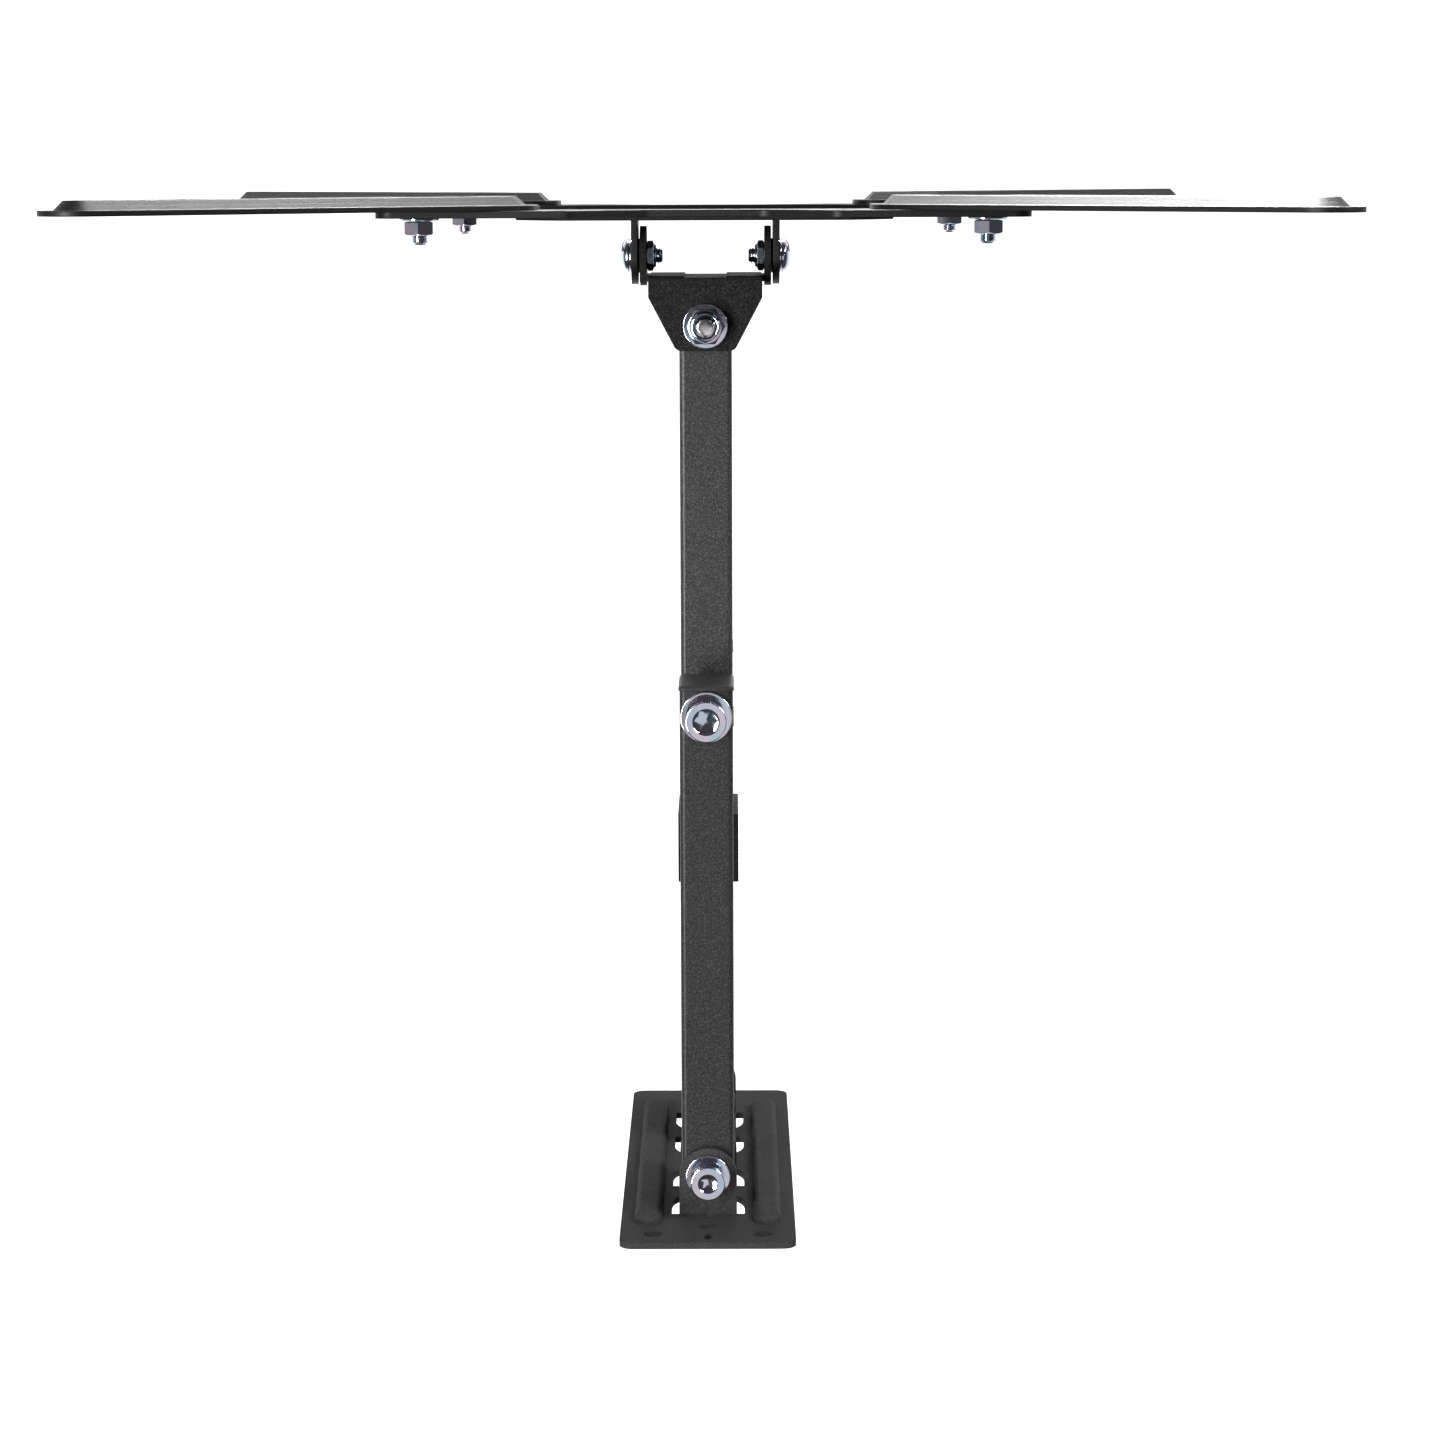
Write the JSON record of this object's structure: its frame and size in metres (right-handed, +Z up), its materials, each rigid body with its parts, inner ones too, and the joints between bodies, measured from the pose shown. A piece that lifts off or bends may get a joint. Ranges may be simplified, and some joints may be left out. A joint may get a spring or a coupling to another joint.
{
  "type": "swivel tv wall mount",
  "caption": "Full-motion wall mount for a flat television: tall wall plate, paired tube arm, single tube arm, swivel and tilt head, plate with splayed extension arms.",
  "frame": {"origin": "middle of the wall plate's back face, on the wall", "axes": "+Y into the wall, the mount reaches out along -Y, +Z up"},
  "size_m": [0.426, 0.3863, 0.426],
  "materials": {
    "powder_coat": "matte powder coat",
    "black_plastic": "satin",
    "zinc_plate": "bright zinc plating"
  },
  "bodies": {
    "wall_bracket": {"wall_plate": "powder_coat", "upper_wall_pivot_bolt": "zinc_plate", "upper_wall_pivot_nut": "zinc_plate", "upper_wall_pivot_washers": "zinc_plate", "lower_wall_pivot_bolt": "zinc_plate", "lower_wall_pivot_nut": "zinc_plate", "lower_wall_pivot_washers": "zinc_plate", "wall_slip_washers": "black_plastic"},
    "wall_arm": {"upper_wall_tube": "powder_coat", "lower_wall_tube": "powder_coat", "upper_tube_cap": "black_plastic", "lower_tube_cap": "black_plastic", "cable_clip": "black_plastic", "elbow_bolt": "zinc_plate", "elbow_nut": "zinc_plate", "elbow_washers": "zinc_plate", "elbow_spacers": "black_plastic"},
    "tv_arm": {"tv_arm_tube": "powder_coat", "tv_arm_elbow_cap": "black_plastic", "tv_arm_head_cap": "black_plastic"},
    "swivel_head": {"swivel_bracket": "powder_coat", "head_bolt": "zinc_plate", "head_nut": "zinc_plate", "head_washers": "zinc_plate", "head_slip_washers": "black_plastic"},
    "screen_plate": {"tv_plate": "powder_coat", "tilt_screws": "zinc_plate", "tilt_nuts": "zinc_plate", "tilt_washers": "zinc_plate", "tilt_slip_washers": "black_plastic"},
    "clamp_upper_right": {"arm_bolt_upper_right": "zinc_plate", "arm_nut_upper_right": "zinc_plate"},
    "extension_upper_right": {"arm_upper_right": "powder_coat"},
    "clamp_upper_left": {"arm_bolt_upper_left": "zinc_plate", "arm_nut_upper_left": "zinc_plate"},
    "extension_upper_left": {"arm_upper_left": "powder_coat"},
    "clamp_lower_left": {"arm_bolt_lower_left": "zinc_plate", "arm_nut_lower_left": "zinc_plate"},
    "extension_lower_left": {"arm_lower_left": "powder_coat"},
    "clamp_lower_right": {"arm_bolt_lower_right": "zinc_plate", "arm_nut_lower_right": "zinc_plate"},
    "extension_lower_right": {"arm_lower_right": "powder_coat"}
  },
  "joints": [
    {"name": "wall_swivel", "type": "hinge", "parent": "wall_bracket", "child": "wall_arm", "pos_m": [0, -0.0173, 0], "axis": [0, 0, 1], "range_deg": [-90, 90]},
    {"name": "elbow", "type": "hinge", "parent": "wall_arm", "child": "tv_arm", "pos_m": [0, -0.1943, 0], "axis": [0, 0, -1], "range_deg": [-148, 148]},
    {"name": "head_swivel", "type": "hinge", "parent": "tv_arm", "child": "swivel_head", "pos_m": [0, -0.3373, 0], "axis": [0, 0, 1], "range_deg": [-90, 90]},
    {"name": "tilt", "type": "hinge", "parent": "swivel_head", "child": "screen_plate", "pos_m": [0, -0.3629, 0], "axis": [1, 0, 0], "range_deg": [-10, 15]},
    {"name": "upper_right_turn", "type": "hinge", "parent": "screen_plate", "child": "clamp_upper_right", "pos_m": [0.1, -0.3813, 0.1], "axis": [0, 1, 0], "range_deg": [-40, 40]},
    {"name": "upper_right_slide", "type": "slide", "parent": "clamp_upper_right", "child": "extension_upper_right", "axis": [0.7071, 0, 0.7071], "range_m": [0, 0.014]},
    {"name": "upper_left_turn", "type": "hinge", "parent": "screen_plate", "child": "clamp_upper_left", "pos_m": [-0.1, -0.3813, 0.1], "axis": [0, 1, 0], "range_deg": [-40, 40]},
    {"name": "upper_left_slide", "type": "slide", "parent": "clamp_upper_left", "child": "extension_upper_left", "axis": [-0.7071, 0, 0.7071], "range_m": [0, 0.014]},
    {"name": "lower_left_turn", "type": "hinge", "parent": "screen_plate", "child": "clamp_lower_left", "pos_m": [-0.1, -0.3813, -0.1], "axis": [0, 1, 0], "range_deg": [-40, 40]},
    {"name": "lower_left_slide", "type": "slide", "parent": "clamp_lower_left", "child": "extension_lower_left", "axis": [-0.7071, 0, -0.7071], "range_m": [0, 0.014]},
    {"name": "lower_right_turn", "type": "hinge", "parent": "screen_plate", "child": "clamp_lower_right", "pos_m": [0.1, -0.3813, -0.1], "axis": [0, 1, 0], "range_deg": [-40, 40]},
    {"name": "lower_right_slide", "type": "slide", "parent": "clamp_lower_right", "child": "extension_lower_right", "axis": [0.7071, 0, -0.7071], "range_m": [0, 0.014]}
  ]
}
